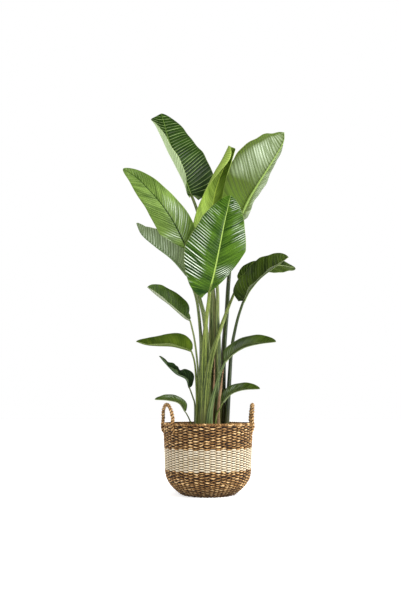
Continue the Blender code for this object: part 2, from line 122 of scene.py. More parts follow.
# stem: centreline from the soil up, which ends where the rib starts.
# rib: midrib from the blade's base to its tip.
# radii: petiole at its foot and end.    face: where the upper face looks.
# left, right: half width, backward lobe, folds towards the face at base and tip, bends at base and
# tip (degrees), and the outline: where it is widest, bluntness of its base and of its tip.
LEAVES = {
    "top_left": dict(
        stem=[(0.018, 0.034), (0.024, 0.036, 0.67), (0.02, 0.055, 0.906), (-0.007, 0.078, 1.105),
              (-0.046, 0.09, 1.294)],
        rib=[(-0.077, 0.09, 1.381), (-0.097, 0.09, 1.44), (-0.131, 0.094, 1.518), (-0.166, 0.102, 1.604),
             (-0.195, 0.118, 1.695), (-0.216, 0.138, 1.778), (-0.231, 0.155, 1.839)],
        radii=(0.015, 0.0055), face=(0.8, -0.1, 0.5),
        left=(0.105, 0.015, (-50, -95), (150, 90), (0.5, 2.0, 3.2)),
        right=(0.152, 0.034, (70, 52), (5, -35), (0.22, 1.7, 3.2))),
    "left_upper": dict(
        stem=[(-0.002, 0.012), (0.002, 0.012, 0.491), (-0.002, 0.01, 0.648), (-0.019, 0.0, 0.788),
              (-0.04, -0.015, 0.865), (-0.067, -0.04, 0.985)],
        rib=[(-0.094, -0.055, 1.078), (-0.155, -0.09, 1.194), (-0.21, -0.12, 1.27), (-0.273, -0.145, 1.337),
             (-0.318, -0.161, 1.378), (-0.376, -0.18, 1.411)],
        radii=(0.0115, 0.0055), face=(-0.15, -0.93, 0.3),
        left=(0.082, 0.0, (10, 5), (-15, -15), (0.25, 1.15, 1.8)),
        right=(0.078, 0.012, (8, 8), (-12, -12), (0.25, 2.4, 1.6))),
    "left_lower": dict(
        stem=[(-0.037, 0.022), (-0.03, 0.024, 0.536), (-0.03, 0.03, 0.672), (-0.045, 0.042, 0.831),
              (-0.066, 0.055, 0.914)],
        rib=[(-0.096, 0.065, 0.983), (-0.168, 0.085, 1.067), (-0.251, 0.1, 1.134), (-0.315, 0.11, 1.192),
             (-0.343, 0.112, 1.249)],
        radii=(0.011, 0.005), face=(0.62, -0.25, 0.75),
        left=(0.1, 0.02, (62, 45), (18, 18), (0.4, 2.0, 1.7)),
        right=(0.1, 0.02, (50, 40), (10, 10), (0.4, 2.0, 2.2))),
    "center": dict(
        stem=[(-0.025, -0.03), (-0.021, -0.034, 0.467), (-0.016, -0.05, 0.648), (-0.007, -0.075, 0.752),
              (0.003, -0.1, 0.831)],
        rib=[(0.006, -0.12, 0.867), (0.028, -0.145, 0.951), (0.05, -0.155, 1.057), (0.072, -0.135, 1.17),
             (0.105, -0.07, 1.325)],
        radii=(0.012, 0.006), face=(0.05, -0.97, 0.2),
        left=(0.15, 0.036, (10, 5), (-20, -20), (0.42, 2.0, 1.0)),
        right=(0.116, 0.0, (14, 12), (-25, -25), (0.42, 1.15, 1.3))),
    "new": dict(
        stem=[(0.044, 0.008), (0.047, 0.012, 0.648), (0.044, 0.026, 0.778), (0.045, 0.036, 0.905)],
        rib=[(0.03, 0.042, 1.059), (0.021, 0.04, 1.155), (0.019, 0.036, 1.242), (0.029, 0.03, 1.338),
             (0.053, 0.024, 1.43), (0.084, 0.018, 1.508), (0.115, 0.012, 1.596)],
        radii=(0.014, 0.005), face=(0.15, -0.95, 0.1),
        left=(0.106, 0.01, (5, 30), (-20, 200), (0.3, 2.0, 9.0)),
        right=(0.06, 0.0, (20, 25), (20, 100), (0.6, 1.2, 9.0))),
    "top_right": dict(
        stem=[(0.066, 0.032), (0.068, 0.036, 0.491), (0.074, 0.044, 0.651), (0.089, 0.058, 0.815),
              (0.101, 0.076, 0.984), (0.127, 0.093, 1.16)],
        rib=[(0.168, 0.105, 1.298), (0.2, 0.1, 1.367), (0.245, 0.1, 1.443), (0.296, 0.108, 1.526),
             (0.346, 0.122, 1.61), (0.381, 0.135, 1.681), (0.387, 0.147, 1.732)],
        radii=(0.012, 0.006), face=(-0.8, -0.05, 0.52),
        left=(0.118, 0.04, (-30, -12), (30, 30), (0.25, 2.2, 2.4)),
        right=(0.17, 0.042, (80, 76), (8, 8), (0.24, 2.2, 2.8))),
    "right_middle": dict(
        stem=[(0.079, 0.0), (0.097, 0.0, 0.512), (0.106, -0.005, 0.624), (0.12, -0.015, 0.704),
              (0.137, -0.03, 0.774)],
        rib=[(0.159, -0.045, 0.838), (0.184, -0.06, 0.884), (0.227, -0.085, 0.933), (0.274, -0.11, 0.968),
             (0.316, -0.13, 0.995), (0.352, -0.145, 1.019)],
        radii=(0.0095, 0.005), face=(-0.55, -0.42, 0.72),
        left=(0.08, 0.012, (52, 50), (-15, -15), (0.35, 2.4, 3.4)),
        right=(0.06, 0.012, (20, 20), (5, 5), (0.4, 2.4, 2.1))),
    "right_back": dict(
        stem=[(-0.016, -0.057), (-0.007, -0.06, 0.453), (0.013, -0.058, 0.577), (0.033, -0.05, 0.648),
              (0.066, -0.025, 0.743), (0.097, 0.012, 0.826), (0.13, 0.045, 0.907)],
        rib=[(0.157, 0.07, 0.964), (0.211, 0.09, 1.01), (0.281, 0.12, 1.038), (0.357, 0.15, 1.048),
             (0.432, 0.18, 1.042)],
        radii=(0.0085, 0.0045), face=(-0.15, -0.7, 0.7),
        left=(0.052, 0.01, (18, 10), (-15, -15), (0.35, 2.4, 2.8)),
        right=(0.062, 0.015, (5, 0), (-20, -20), (0.42, 2.2, 2.8))),
    "low_left_first": dict(
        stem=[(-0.053, 0.002), (-0.046, 0.0, 0.402), (-0.044, -0.01, 0.525), (-0.053, -0.02, 0.621),
              (-0.064, -0.035, 0.691)],
        rib=[(-0.08, -0.05, 0.754), (-0.105, -0.062, 0.766), (-0.17, -0.085, 0.819),
             (-0.223, -0.115, 0.854), (-0.263, -0.145, 0.885)],
        radii=(0.006, 0.0035), face=(0.2, -0.72, 0.66),
        left=(0.05, 0.004, (42, 44), (0, 0), (0.42, 1.8, 2.0)),
        right=(0.07, 0.004, (32, 27), (-15, -15), (0.45, 1.8, 2.1))),
    "low_left_second": dict(
        stem=[(-0.048, -0.02), (-0.049, -0.022, 0.4), (-0.053, -0.008, 0.5), (-0.06, 0.008, 0.572)],
        rib=[(-0.075, 0.022, 0.622), (-0.108, 0.03, 0.633), (-0.164, 0.05, 0.647), (-0.234, 0.07, 0.651),
             (-0.286, 0.085, 0.657), (-0.334, 0.1, 0.673)],
        radii=(0.006, 0.0035), face=(0.1, -0.62, 0.78),
        left=(0.017, 0.002, (65, 60), (0, 0), (0.42, 2.0, 1.4)),
        right=(0.08, 0.003, (28, 20), (-18, -18), (0.36, 2.0, 1.4))),
    "low_left_third": dict(
        stem=[(-0.058, 0.032), (-0.058, 0.033, 0.375), (-0.067, 0.036, 0.414)],
        rib=[(-0.083, 0.04, 0.458), (-0.098, 0.046, 0.498), (-0.145, 0.058, 0.523), (-0.19, 0.06, 0.566),
             (-0.222, 0.055, 0.602)],
        radii=(0.005, 0.003), face=(0.35, -0.6, 0.72),
        left=(0.026, 0.002, (35, 60), (20, 60), (0.36, 2.0, 1.0)),
        right=(0.036, 0.002, (35, 60), (10, 50), (0.3, 2.0, 0.9))),
    "low_left_fourth": dict(
        stem=[(-0.062, -0.034), (-0.072, -0.042, 0.294), (-0.086, -0.055, 0.329)],
        rib=[(-0.099, -0.07, 0.352), (-0.125, -0.09, 0.388), (-0.171, -0.12, 0.4), (-0.225, -0.15, 0.403)],
        radii=(0.0035, 0.0022), face=(0.1, -0.55, 0.83),
        left=(0.01, 0.002, (60, 50), (0, 0), (0.38, 2.0, 1.3)),
        right=(0.042, 0.003, (25, 15), (-20, -20), (0.34, 2.0, 1.3))),
    "low_right_first": dict(
        stem=[(0.002, -0.078), (0.007, -0.08, 0.34), (0.018, -0.078, 0.4), (0.037, -0.076, 0.467),
              (0.053, -0.076, 0.516)],
        rib=[(0.074, -0.078, 0.565), (0.108, -0.1, 0.598), (0.158, -0.13, 0.625), (0.219, -0.165, 0.637),
             (0.283, -0.2, 0.641)],
        radii=(0.008, 0.0035), face=(-0.1, -0.6, 0.8),
        left=(0.066, 0.003, (28, 15), (-20, -20), (0.38, 2.0, 1.6)),
        right=(0.016, 0.002, (62, 55), (0, 0), (0.42, 2.0, 1.4))),
    "low_right_second": dict(
        stem=[(0.024, -0.064), (0.036, -0.067, 0.335), (0.047, -0.071, 0.358)],
        rib=[(0.065, -0.08, 0.393), (0.098, -0.1, 0.427), (0.147, -0.13, 0.444), (0.216, -0.165, 0.447)],
        radii=(0.0045, 0.0028), face=(-0.1, -0.6, 0.8),
        left=(0.048, 0.003, (25, 15), (-20, -20), (0.38, 2.0, 1.4)),
        right=(0.012, 0.002, (60, 55), (0, 0), (0.42, 2.0, 1.4))),
}

# How each leaf looks: petiole and blade palettes, distance between side veins, depth of the ribs,
# waves of the margin (height, count), and patches of painted highlight, or of painted shade where the
# strength is below zero (across from -1 to 1, along, size across, size along, strength).
LEAF_LOOKS = {
    "top_left": ("olive", "deep", 0.0165, 0.0014, (0.004, 2.0), []),
    "left_upper": ("shade", "fresh", 0.0150, 0.0014, (0.006, 2.2),
                   [(-0.55, 0.15, 0.5, 0.06, 0.9), (0.6, 0.36, 0.5, 0.20, 0.75),
                    (0.85, 0.10, 0.4, 0.10, -0.6), (-0.8, 0.05, 0.5, 0.05, -0.8),
                    (0.3, 0.95, 1.2, 0.30, -1.0), (0.9, 0.6, 0.2, 0.5, -0.4)]),
    "left_lower": ("shade", "grey", 0.0150, 0.0014, (0.003, 2.0),
                   [(0.0, 0.1, 1.2, 0.15, -0.5), (0.1, 0.60, 0.9, 0.35, 0.5)]),
    "center": ("bright", "glossy", 0.0125, 0.0016, (0.006, 2.6),
               [(-0.75, 0.20, 0.42, 0.14, 1.2), (0.50, 0.20, 0.6, 0.05, 1.0), (-0.6, 0.78, 0.5, 0.14, 0.35),
                (0.8, 0.58, 0.3, 0.10, 0.7), (0.5, 0.88, 0.5, 0.08, 0.9), (-0.75, 0.48, 0.40, 0.16, 0.6),
                (-0.15, 0.45, 0.22, 0.45, -0.8), (-0.35, 0.0, 0.5, 0.07, -1.0), (0.15, 0.6, 0.2, 0.3, -0.5),
                (-0.5, 0.95, 0.4, 0.10, -0.9)]),
    "new": ("olive", "lime", 0.0160, 0.0010, (0.002, 2.0), [(0.2, 0.95, 1.0, 0.45, -1.0)]),
    "top_right": ("dark", "silver", 0.0190, 0.0018, (0.004, 2.4),
                  [(0.60, 0.68, 0.50, 0.26, 0.55), (0.7, 0.36, 0.3, 0.10, 0.22), (-0.7, 0.4, 0.5, 0.8, 0.4),
                   (0.95, 0.8, 0.14, 0.3, -0.7), (0.4, 0.1, 0.6, 0.12, -0.7)]),
    "right_middle": ("dark", "small", 0.0140, 0.0012, (0.004, 2.2), [(-0.5, 0.1, 0.9, 0.12, -0.6)]),
    "right_back": ("pale", "small", 0.0140, 0.0010, (0.004, 2.0), []),
    "low_left_first": ("olive", "backed", 0.0110, 0.0008, (0.003, 1.6), [(0.6, 0.5, 0.5, 0.6, -0.4)]),
    "low_left_second": ("bright", "mellow", 0.0110, 0.0008, (0.002, 1.6), [(0.8, 0.5, 0.3, 0.6, -0.5)]),
    "low_left_third": ("olive", "night", 0.0100, 0.0007, (0.007, 2.6), []),
    "low_left_fourth": ("pale", "small", 0.0090, 0.0006, (0.0015, 1.5), [(0.7, 0.45, 0.2, 0.25, 0.5)]),
    "low_right_first": ("blue", "small", 0.0110, 0.0008, (0.002, 1.6), [(-0.4, 0.3, 0.3, 0.3, 0.2)]),
    "low_right_second": ("pale", "small", 0.0100, 0.0006, (0.0015, 1.5), [(-0.6, 0.35, 0.25, 0.2, 0.35)]),
}

SHEATH_HALF = 0.0004         # half of a husk's thickness
SHEATHS = {
    "dry_sheath_right": dict(
        rib=[(0.046, -0.040, SOIL_Z), (0.047, -0.036, 0.38), (0.058, -0.022, 0.455), (0.069, -0.010, 0.54)],
        half_width=0.006),
    "dry_sheath_middle": dict(
        rib=[(0.020, -0.012, SOIL_Z), (0.024, -0.014, 0.40), (0.028, -0.012, 0.50), (0.030, -0.010, 0.585)],
        half_width=0.005),
}

# Leaf palettes, linear colour: upper face in shade and light, underside, side veins, midrib above,
# how strongly the veins show, roughness of the upper face, and how far the painted highlight
# spreads from sharp bands into an even painted sheen.
LOOKS = {
    "deep": ((0.003, 0.012, 0.0004), (0.015, 0.042, 0.001), (0.36, 0.46, 0.24), (0.26, 0.36, 0.13),
             (0.10, 0.17, 0.03), 0.80, 0.38, 0.0),
    "small": ((0.005, 0.012, 0.0005), (0.036, 0.062, 0.004), (0.034, 0.050, 0.012), (0.11, 0.16, 0.04),
              (0.22, 0.27, 0.12), 0.60, 0.38, 0.0),
    "backed": ((0.008, 0.022, 0.001), (0.040, 0.074, 0.006), (0.30, 0.34, 0.22), (0.12, 0.18, 0.05),
               (0.10, 0.14, 0.04), 0.50, 0.38, 0.0),
    # The fresh look's midrib colour is painted shade: the dark groove along the midrib.
    "fresh": ((0.034, 0.068, 0.006), (0.122, 0.198, 0.034), (0.19, 0.28, 0.08), (0.30, 0.41, 0.12),
              (0.010, 0.030, 0.002), 0.70, 0.40, 0.1),
    "grey": ((0.050, 0.110, 0.016), (0.100, 0.190, 0.035), (0.125, 0.170, 0.075), (0.34, 0.40, 0.27),
             (0.10, 0.15, 0.06), 1.00, 0.48, 0.2),
    "glossy": ((0.005, 0.024, 0.001), (0.056, 0.122, 0.008), (0.20, 0.32, 0.09), (0.17, 0.30, 0.04),
               (0.33, 0.46, 0.10), 0.50, 0.32, 0.0),
    "lime": ((0.060, 0.105, 0.010), (0.205, 0.300, 0.045), (0.23, 0.32, 0.06), (0.40, 0.50, 0.10),
             (0.33, 0.43, 0.06), 0.50, 0.42, 0.2),
    "silver": ((0.090, 0.170, 0.018), (0.190, 0.290, 0.045), (0.062, 0.098, 0.012), (0.30, 0.38, 0.16),
               (0.15, 0.22, 0.05), 1.00, 0.36, 0.6),
    "mellow": ((0.028, 0.056, 0.003), (0.082, 0.128, 0.009), (0.16, 0.21, 0.06), (0.13, 0.19, 0.04),
               (0.07, 0.10, 0.02), 0.40, 0.40, 0.0),
    "night": ((0.003, 0.010, 0.001), (0.012, 0.032, 0.004), (0.05, 0.09, 0.03), (0.08, 0.14, 0.05),
              (0.03, 0.06, 0.02), 0.40, 0.34, 0.0),
}
# Colour of the painted highlight bands and painted sheen on the leaves.
PAINTED_HIGHLIGHT = (0.66, 0.74, 0.60)
LEAF_EDGE = (0.30, 0.36, 0.10)
# Stem palettes: dark streaks, light streaks.
STEM_LOOKS = {
    "bright": ((0.014, 0.030, 0.003), (0.190, 0.235, 0.045)),
    "olive": ((0.014, 0.030, 0.005), (0.165, 0.200, 0.060)),
    "pale": ((0.016, 0.032, 0.003), (0.165, 0.200, 0.045)),
    "blue": ((0.018, 0.038, 0.006), (0.130, 0.172, 0.055)),
    "shade": ((0.016, 0.034, 0.006), (0.155, 0.190, 0.060)),
    "dark": ((0.002, 0.006, 0.001), (0.036, 0.056, 0.012)),
}
TAN = (0.32, 0.22, 0.11)
# Cord palettes: dark, middle and light fibres.
GRASS_COLORS = ((0.062, 0.026, 0.007), (0.300, 0.155, 0.048), (0.800, 0.540, 0.260))
CREAM_COLORS = ((0.420, 0.320, 0.190), (0.620, 0.525, 0.370), (0.770, 0.700, 0.565))
ROPE_COLORS = ((0.090, 0.040, 0.012), (0.310, 0.170, 0.060), (0.620, 0.410, 0.190))
# Painted shade for the gaps between stitches and at the basket's foot.
GRASS_GAP_SHADE = (0.008, 0.003, 0.001)
CREAM_GAP_SHADE = (0.220, 0.150, 0.075)

FLOOR_HALF = 14.0
# Lights: name, place, target, size, power.
LIGHTS = [
    ("key", (2.2, -2.2, 3.1), (0.0, 0.0, 0.9), 1.1, 150.0),
    ("side", (-3.0, -1.2, 2.0), (0.0, 0.0, 0.9), 1.2, 40.0),
    ("right", (2.6, -0.6, 0.9), (0.0, 0.0, 0.25), 0.8, 60.0),
]
CAMERA_PLACE = (-0.033, -2.8, 0.376)
CAMERA_TILT = 99.61          # degrees up from looking straight down
CAMERA_LENS = 37.3


# ---- geometry helpers
def smooth_curve(points, count=400):
    """Dense points on the smooth curve through the control points, and the length at each."""
    p = np.array(points, float)
    padded = np.vstack([2 * p[0] - p[1], p, 2 * p[-1] - p[-2]])
    t = np.linspace(0, len(p) - 1, count + 1)
    k = np.minimum(t.astype(int), len(p) - 2)
    f = (t - k)[:, None]
    before, a, b, after = padded[k], padded[k + 1], padded[k + 2], padded[k + 3]
    curve = 0.5 * (2 * a + (b - before) * f + (2 * before - 5 * a + 4 * b - after) * f ** 2
                   + (3 * a - before - 3 * b + after) * f ** 3)
    return curve, lengths(curve)


def lengths(points):
    """Distance along a row of points, at each of them."""
    return np.concatenate([[0.0], np.cumsum(np.linalg.norm(np.diff(points, axis=0), axis=1))])


def at(curve, reach, along):
    """Points of a dense curve at the given distances along it."""
    return np.stack([np.interp(along, reach, curve[:, i]) for i in range(3)], axis=-1)


def unit(v):
    """Vectors scaled to length one."""
    return v / np.maximum(np.linalg.norm(v, axis=-1, keepdims=True), 1e-12)


def tangents(points):
    """Unit tangents of a row of points."""
    return unit(np.gradient(points, axis=0))


def square_to(direction, tangent):
    """The part of a direction that is square to each tangent, at length one."""
    direction = np.broadcast_to(direction, tangent.shape)
    return unit(direction - np.einsum("ij,ij->i", direction, tangent)[:, None] * tangent)


def normals(points):
    """Unit normals of a grid of points."""
    return unit(np.cross(np.gradient(points, axis=1), np.gradient(points, axis=0)))


def radials(theta):
    """Level unit vectors at angles about the Z axis."""
    return np.stack([np.cos(theta), np.sin(theta), np.zeros_like(theta)], -1)


def ring_angles(sides):
    """Angles of the points round a section."""
    return np.linspace(0, TURN, sides, endpoint=False)


def random_line(random, place, knots, spread=1.0):
    """A broken line through random heights at the knots."""
    return np.interp(place, knots, random.normal(0, spread, len(knots)))


def make_piece(name, points, faces, attributes=None, smooth=True):
    """A mesh object from points and faces, with point attributes for its material."""
    mesh = bpy.data.meshes.new(name)
    mesh.from_pydata(points.tolist(), [], faces)
    for key, values in (attributes or {}).items():
        mesh.attributes.new(key, "FLOAT", "POINT").data.foreach_set("value", np.asarray(values, np.float32))
    if smooth:
        mesh.shade_smooth()
    piece = bpy.data.objects.new(name, mesh)
    bpy.context.scene.collection.objects.link(piece)
    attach(piece, "root")
    return piece


def grid_faces(rows, columns, first=0, wrap=False, flip=False):
    """Quads over a grid of points numbered row by row; wrap joins the last column to the first."""
    i = np.arange(rows - 1)[:, None]
    j = np.arange(columns if wrap else columns - 1)[None, :]
    k = (j + 1) % columns
    quads = [i * columns + j, i * columns + k, (i + 1) * columns + k, (i + 1) * columns + j]
    faces = np.stack([np.broadcast_to(q, (rows - 1, j.size)) for q in quads], -1).reshape(-1, 4) + first
    return (faces[:, ::-1] if flip else faces).tolist()


def skin_faces(rows, columns):
    """Faces of a thin body: its front grid, its back grid and the strip round its border."""
    count = rows * columns
    number = np.arange(count).reshape(rows, columns)
    border = np.concatenate([number[0], number[1:, -1], number[-1, -2::-1], number[-2:0:-1, 0]])
    following = np.roll(border, -1)
    strip = np.stack([border, following, following + count, border + count], -1).tolist()
    return grid_faces(rows, columns, flip=True) + grid_faces(rows, columns, first=count) + strip


def cap_faces(rows, columns, first=0, flip=False):
    """The two ends of a wrapped grid."""
    start = list(range(first, first + columns))
    end = [k + (rows - 1) * columns for k in start]
    return [start, end[::-1]] if flip else [start[::-1], end]


def tubes_piece(name, tubes, sides=CORD_SIDES):
    """One piece of closed tubes. Each is given by its centres, its section's axes a and b, its half
    sizes along them, and values for its material, one per centre or a grid of centre by side."""
    turn = ring_angles(sides)
    points, faces, values = [], [], {}
    for centres, a, b, half_a, half_b, extra in tubes:
        n, first = len(centres), sum(len(p) for p in points)
        ring = (centres[:, None] + a[:, None] * (np.cos(turn)[:, None] * np.reshape(half_a, (-1, 1, 1)))
                + b[:, None] * (np.sin(turn)[:, None] * np.reshape(half_b, (-1, 1, 1))))
        points.append(ring.reshape(-1, 3))
        backward = np.einsum("ij,ij->i", np.cross(a, b), tangents(centres)).mean() < 0
        faces += grid_faces(n, sides, first=first, wrap=True, flip=backward)
        faces += cap_faces(n, sides, first, backward)
        for key, value in {"along": lengths(centres), "around": turn[None] / TURN, **extra}.items():
            grid = value[:, None] if value.shape == (n,) else value
            values.setdefault(key, []).append(np.broadcast_to(grid, (n, sides)).ravel())
    return make_piece(name, np.vstack(points), faces, {k: np.concatenate(v) for k, v in values.items()})


def openness(proud):
    """Light that reaches a cord's sides, from 0 in a gap to 1 on a stitch, where it stands proud."""
    facing = np.cos(ring_angles(CORD_SIDES))
    return 0.25 * (1 + facing) * (1 + proud) + 0.25 * (1 - facing) * (1 - proud)


def lathe_piece(name, profile, steps=128):
    """A turned piece from (radius, height) points that run down its outer side."""
    r, z = np.array(profile).T
    ring = radials(ring_angles(steps)) * r[:, None, None] + UP * z[:, None, None]
    return make_piece(name, ring.reshape(-1, 3), grid_faces(len(profile), steps, wrap=True))


# ---- node helpers
def scaled(color, factor):
    """A colour made lighter or darker, no channel above 0.8."""
    return tuple(min(c * factor, 0.8) for c in color)


class Nodes:
    """Short names for building one material's node tree."""

    def __init__(self, name):
        self.material = bpy.data.materials.new(name)
        self.material.use_nodes = True
        self.tree = self.material.node_tree
        self.shader = self.tree.nodes["Principled BSDF"]

    def put(self, socket, value):
        """Links an output or sets a plain value."""
        if isinstance(value, bpy.types.NodeSocket):
            self.tree.links.new(value, socket)
        elif isinstance(value, tuple):
            socket.default_value = (*value, 1.0)
        else:
            socket.default_value = value

    def add(self, kind, inputs, output=0, **settings):
        """Adds a node, fills its inputs, and gives back one of its outputs."""
        node = self.tree.nodes.new("ShaderNode" + kind)
        for key, value in settings.items():
            setattr(node, key, value)
        for key, value in inputs.items():
            self.put(node.inputs[key], value)
        return node.outputs[output]

    def attribute(self, name):
        return self.add("Attribute", {}, "Fac", attribute_name=name)

    def attributes(self, *names):
        return [self.attribute(name) for name in names]

    def math(self, operation, a, b=0.0, clamp=False):
        return self.add("Math", {0: a, 1: b}, operation=operation, use_clamp=clamp)

    def times(self, a, b, clamp=False):
        return self.math("MULTIPLY", a, b, clamp)

    def plus(self, *values):
        total = values[0]
        for value in values[1:]:
            total = self.math("ADD", total, value)
        return total

    def remap(self, value, low, high, to_low=0.0, to_high=1.0, smooth=True):
        inputs = dict(enumerate((value, low, high, to_low, to_high)))
        return self.add("MapRange", inputs, interpolation_type="SMOOTHSTEP" if smooth else "LINEAR")

    def vector(self, x, y, z=0.0):
        return self.add("CombineXYZ", {0: x, 1: y, 2: z})

    def noise(self, vector, scale, detail=3.0, rough=0.55):
        inputs = {"Vector": vector, "Scale": scale, "Detail": detail, "Roughness": rough}
        return self.add("TexNoise", inputs, "Fac")

    def place(self):
        return self.add("TexCoord", {}, "Object")

    def height(self):
        return self.add("SeparateXYZ", {0: self.place()}, "Z")

    def mix(self, factor, a, b):
        return self.add("Mix", {0: factor, 6: a, 7: b}, 2, data_type="RGBA")

    def bump(self, height, distance, strength):
        return self.add("Bump", {"Strength": strength, "Distance": distance, "Height": height}, "Normal")

    def finish(self, color, roughness, normal=None, specular=0.5):
        self.put(self.shader.inputs["Base Color"], color)
        self.put(self.shader.inputs["Roughness"], roughness)
        self.put(self.shader.inputs["Specular IOR Level"], specular)
        if normal is not None:
            self.put(self.shader.inputs["Normal"], normal)
        return self.material


# ---- leaves
def half_width(v, width, outline):
    """Half width at v from 0 (base) to 1 (tip)."""
    peak, base_power, tip_power = outline
    low = (1 - np.clip(1 - v / peak, 0, 1) ** base_power) ** (1 / base_power)
    high = (1 - np.clip((v - peak) / (1 - peak), 0, 1) ** tip_power) ** TIP_ROUNDING
    return width * np.where(v < peak, low, high)


def blade_frames(curve, reach, leaf, along):
    """Origin, side and up vectors of the midrib at the given distances."""
    length = reach[-1]
    inside = np.clip(along, 0, length)
    step = length * 0.02
    tangent = unit(at(curve, reach, inside + step) - at(curve, reach, inside - step))
    origin = at(curve, reach, inside) + tangent * np.minimum(along, 0)[..., None]
    side = unit(np.cross(tangent, np.array(leaf["face"])))
    return origin, side, np.cross(side, tangent)


def blade_grid(leaf, columns, lead, vein_pitch, pleat_depth, ripple, patches, seed):
    """Middle surface of a blade and the values its material reads."""
    curve, reach = smooth_curve(leaf["rib"])
    length = reach[-1]
    veins = int(length / vein_pitch)
    rows = veins * ROWS_PER_VEIN + 1
    random = np.random.default_rng(seed)
    w = np.linspace(0, 1, rows)
    vein = w * veins
    u = TIP_END * w ** MIDRIB_CROWD
    v = BASE_EDGE + (1 - BASE_EDGE) * w ** lead
    part = np.linspace(0, 1, columns + 1) ** 1.4
    turn_late = VEIN_CURVE + (BASE_CURVE - VEIN_CURVE) * np.exp(-w / 0.03)
    halves = []
    for sign, (width, lobe, folds, bends, outline) in ((-1, leaf["left"]), (1, leaf["right"])):
        reach_out = half_width(v, width, outline)
        margin = -lobe + (length + lobe) * v
        s = reach_out[:, None] * part
        along = (u * length)[:, None] + (margin - u * length)[:, None] * part ** turn_late[:, None]
        origin, side, up = blade_frames(curve, reach, leaf, along)
        share = np.clip(along / length, 0, 1)
        fold = np.radians(folds[0] + (folds[1] - folds[0]) * share ** FOLD_LATE)
        rate = np.radians(bends[0] + (bends[1] - bends[0]) * share) / width
        rate = np.where(np.abs(rate) < 1e-6, 1e-6, rate)
        out = (np.sin(fold + rate * s) - np.sin(fold)) / rate
        lift = (np.cos(fold) - np.cos(fold + rate * s)) / rate
        height, count = ripple
        wave = np.sin(TURN * (count * share + random.random()))
        wave = wave + 0.35 * np.sin(TURN * (2.3 * count * share + random.random()))
        calm = np.minimum(1, reach_out / width * 1.5)[:, None] * np.minimum(1, (1 - share) * 5)
        lift = lift + height * part ** 2 * wave * calm
        points = origin + side * (sign * out)[..., None] + up * lift[..., None]
        depth = pleat_depth * (0.6 + 0.8 * random.random(veins + 2))
        arch = np.abs(np.sin(np.pi * vein)) ** 0.7
        pleat = (np.interp(vein, np.arange(veins + 2), depth) * arch)[:, None]
        pleat = pleat * np.clip(part * 8, 0, 1) * (1 - 0.8 * part ** 3)
        # Painted highlight where a patch's strength is above zero, painted shade where it is below.
        painted_light_and_shade = np.zeros_like(share)
        for a, b, size_a, size_b, strength in patches:
            off = ((sign * part - a) / size_a) ** 2 + ((share - b) / size_b) ** 2
            painted_light_and_shade = painted_light_and_shade + strength * np.exp(-off)
        tint = np.interp(vein, np.arange(veins + 2), random.random(veins + 2))
        tint = np.broadcast_to(tint[:, None], s.shape)
        across = np.broadcast_to(sign * part, s.shape)
        halves.append(dict(points=points, pleat=pleat, across=across, mid=s, along=share,
                           painted_light_and_shade=np.clip(painted_light_and_shade, -1, 1), tint=tint))
    left, right = halves
    joined = {k: np.concatenate([left[k][:, :0:-1], right[k]], axis=1) for k in left}
    joined["vein"] = np.broadcast_to(vein[:, None], joined["mid"].shape)
    return joined


def make_blade(name, leaf, seed):
    """A leaf blade: ribbed above, with a round keel under the midrib, closed at its margin."""
    large = leaf["right"][0] > LARGE_BLADE
    lead = MARGIN_LEADS.get(name, MARGIN_LEAD)
    grid = blade_grid(leaf, HALF_COLUMNS[large], lead, *LEAF_LOOKS[name][2:], seed)
    points = grid["points"]
    normal = normals(points)
    top = points + normal * grid["pleat"][..., None]
    share = grid["along"]
    keel_r = (leaf["radii"][1] * 0.95) * (1 - share) ** 0.8 + 0.0008
    keel = np.sqrt(np.clip(keel_r ** 2 - grid["mid"] ** 2, 0, None))
    channel = 0.35 * keel_r * np.exp(-(grid["mid"] / (keel_r * 0.6)) ** 2)
    top = top - normal * channel[..., None]
    body = BLADE_THICKNESS * (1 - 0.5 * np.abs(grid["across"]) ** 6)
    bottom = points + normal * (grid["pleat"] * 0.85 - body - keel * 1.3)[..., None]
    keys = ("vein", "across", "mid", "along", "painted_light_and_shade", "tint")
    values = {key: np.tile(grid[key].ravel(), 2) for key in keys}
    values["under"] = np.repeat([0.0, 1.0], share.size)
    both = np.vstack([top.reshape(-1, 3), bottom.reshape(-1, 3)])
    piece = make_piece("blade_" + name, both, skin_faces(*share.shape), values)
    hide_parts("leaf_" + name)
    return piece


